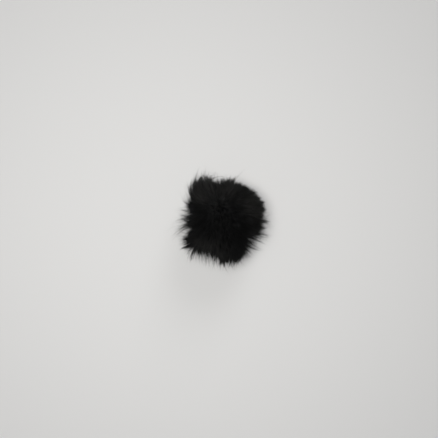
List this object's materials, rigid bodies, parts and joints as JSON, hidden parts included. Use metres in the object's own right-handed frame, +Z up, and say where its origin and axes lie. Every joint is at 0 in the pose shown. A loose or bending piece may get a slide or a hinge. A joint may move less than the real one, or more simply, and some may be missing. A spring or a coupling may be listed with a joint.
{
  "type": "fur pom pom",
  "caption": "Round, soft black fur pom pom with an uneven outline of pointed locks, to trim hats, bags, key rings and clothes.",
  "frame": {"origin": "middle of the flat spot that the pom pom rests on", "axes": "+Z up from the surface, +Y towards the side where the fur parts, +X towards the longest single tuft"},
  "size_m": [0.0556, 0.0548, 0.0427],
  "materials": {
    "fur": "soft black fur, dull at the roots with a faint sheen along the hair"
  },
  "bodies": {
    "root": {"fur_ball": "fur"}
  },
  "joints": []
}
